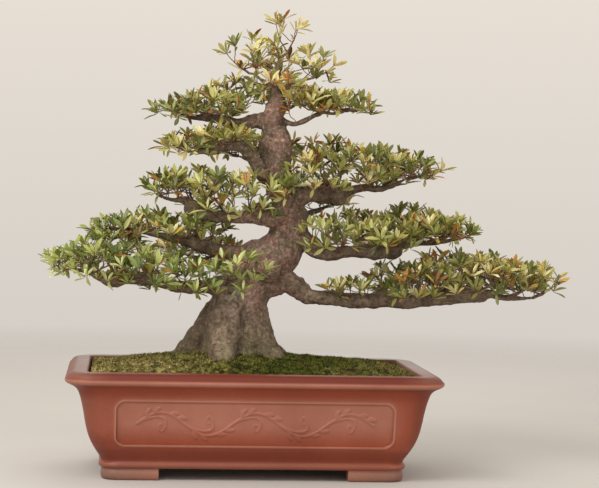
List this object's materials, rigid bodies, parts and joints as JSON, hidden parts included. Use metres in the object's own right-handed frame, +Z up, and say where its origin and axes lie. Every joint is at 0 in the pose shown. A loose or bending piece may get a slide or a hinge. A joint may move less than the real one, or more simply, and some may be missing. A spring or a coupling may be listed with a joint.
{
  "type": "potted bonsai tree",
  "caption": "Flowering-shrub bonsai out of bloom, with a flared root base, winding trunk and layered leafy pads, in a rectangular footed clay pot.",
  "frame": {"origin": "Middle of the object's outline seen from above, at the level of the undersides of the pot's feet. The pot's own middle is at x = -0.0878 m, y = -0.0090 m.", "axes": "+Z up. +X along the pot's long side, towards the longest branch, to the viewer's right. +Y away from the viewer, from the panelled front to the back."},
  "size_m": [0.8528, 0.373, 0.7196],
  "materials": {
    "clay": "satin",
    "mesh": "matte",
    "soil": "matte",
    "moss": "matte",
    "bark": "matte",
    "leaf": "satin"
  },
  "bodies": {
    "root": {"pot": "clay", "drain_screen_left": "mesh", "drain_screen_right": "mesh", "soil": "soil", "moss": "moss", "trunk": "bark", "spray_01": "leaf", "spray_02": "leaf", "spray_03": "leaf", "spray_04": "leaf", "spray_05": "leaf", "spray_06": "leaf", "spray_07": "leaf", "spray_08": "leaf", "spray_09": "leaf", "spray_10": "leaf", "spray_11": "leaf", "spray_12": "leaf", "spray_13": "leaf", "spray_14": "leaf", "spray_15": "leaf", "spray_16": "leaf", "spray_17": "leaf", "spray_18": "leaf", "spray_19": "leaf", "spray_20": "leaf", "spray_21": "leaf", "spray_22": "leaf", "spray_23": "leaf", "spray_24": "leaf", "spray_25": "leaf", "spray_26": "leaf", "spray_27": "leaf", "spray_28": "leaf", "spray_29": "leaf", "spray_30": "leaf", "spray_31": "leaf", "spray_32": "leaf", "spray_33": "leaf", "spray_34": "leaf", "spray_35": "leaf", "spray_36": "leaf", "spray_37": "leaf", "spray_38": "leaf", "spray_39": "leaf", "spray_40": "leaf", "spray_41": "leaf", "spray_42": "leaf", "spray_43": "leaf", "spray_44": "leaf", "spray_45": "leaf", "spray_46": "leaf", "spray_47": "leaf", "spray_48": "leaf", "spray_49": "leaf", "spray_50": "leaf", "spray_51": "leaf", "spray_52": "leaf", "spray_53": "leaf"}
  },
  "joints": []
}
